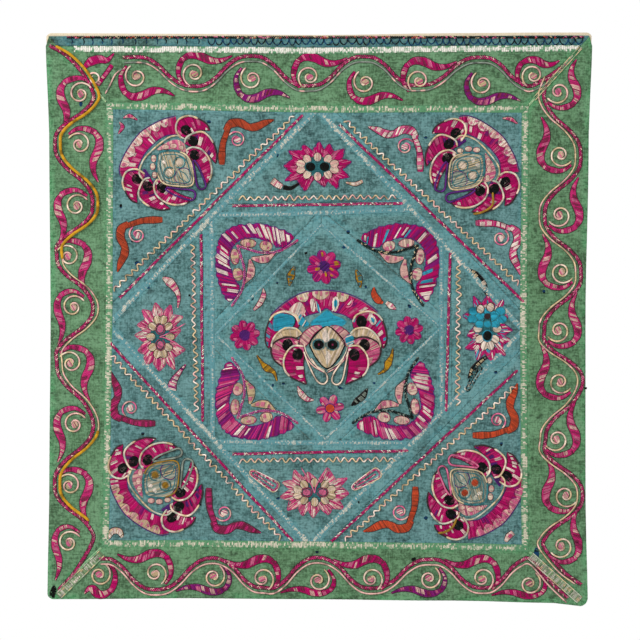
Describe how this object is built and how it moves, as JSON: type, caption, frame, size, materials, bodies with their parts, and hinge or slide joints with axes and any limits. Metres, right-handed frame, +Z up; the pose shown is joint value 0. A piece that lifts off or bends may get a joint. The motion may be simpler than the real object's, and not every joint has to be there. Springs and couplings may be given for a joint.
{
  "type": "textile wall hanging",
  "caption": "Square pieced wall hanging: nested diamonds and squares of teal silk in a green mitred border, with silver ribbons and couched flowers and vines.",
  "frame": {"origin": "middle of the top edge, on the wall's plane", "axes": "+Z up, +X to the right as the hanging is seen from the room, +Y into the wall; the cloth lies on the -Y side"},
  "size_m": [0.8736, 0.0087, 0.9165],
  "materials": {
    "backing": "plain cream cotton",
    "border": "matt green cotton with darker slubs",
    "heading": "matt blue-green cotton",
    "field": "soft teal silk, mottled by overdyeing",
    "sash": "turquoise silk",
    "ribbon": "woven silver metal ribbon, worn",
    "mitre_ribbon": "narrow pale metal ribbon, worn"
  },
  "bodies": {
    "root": {"backing_cloth": "backing", "border_bottom": "border", "border_left": "border", "border_right": "border", "border_top": "border", "corner_patch_bl": "field", "corner_patch_br": "field", "corner_patch_tl": "field", "corner_patch_tr": "field", "diamond_ribbon_bl": "ribbon", "diamond_ribbon_br": "ribbon", "diamond_ribbon_tl": "ribbon", "diamond_ribbon_tr": "ribbon", "flower_patch_bottom": "field", "flower_patch_left": "field", "flower_patch_right": "field", "flower_patch_top": "field", "frame_ribbon_bottom": "ribbon", "frame_ribbon_left": "ribbon", "frame_ribbon_right": "ribbon", "frame_ribbon_top": "ribbon", "heading": "heading", "heading_ribbon": "ribbon", "inner_ribbon_bl": "ribbon", "inner_ribbon_br": "ribbon", "inner_ribbon_tl": "ribbon", "inner_ribbon_tr": "ribbon", "inner_sash_bl": "sash", "inner_sash_br": "sash", "inner_sash_tl": "sash", "inner_sash_tr": "sash", "middle_patch": "field", "middle_sash_bottom": "sash", "middle_sash_left": "sash", "middle_sash_right": "sash", "middle_sash_top": "sash", "mitre_ribbon_bl": "mitre_ribbon", "mitre_ribbon_br": "mitre_ribbon", "mitre_ribbon_tl": "mitre_ribbon", "mitre_ribbon_tr": "mitre_ribbon", "outer_sash_bl": "sash", "outer_sash_br": "sash", "outer_sash_tl": "sash", "outer_sash_tr": "sash", "sprig_patch_bl": "field", "sprig_patch_br": "field", "sprig_patch_tl": "field", "sprig_patch_tr": "field", "square_ribbon_bottom": "ribbon", "square_ribbon_left": "ribbon", "square_ribbon_right": "ribbon", "square_ribbon_top": "ribbon"}
  },
  "joints": []
}
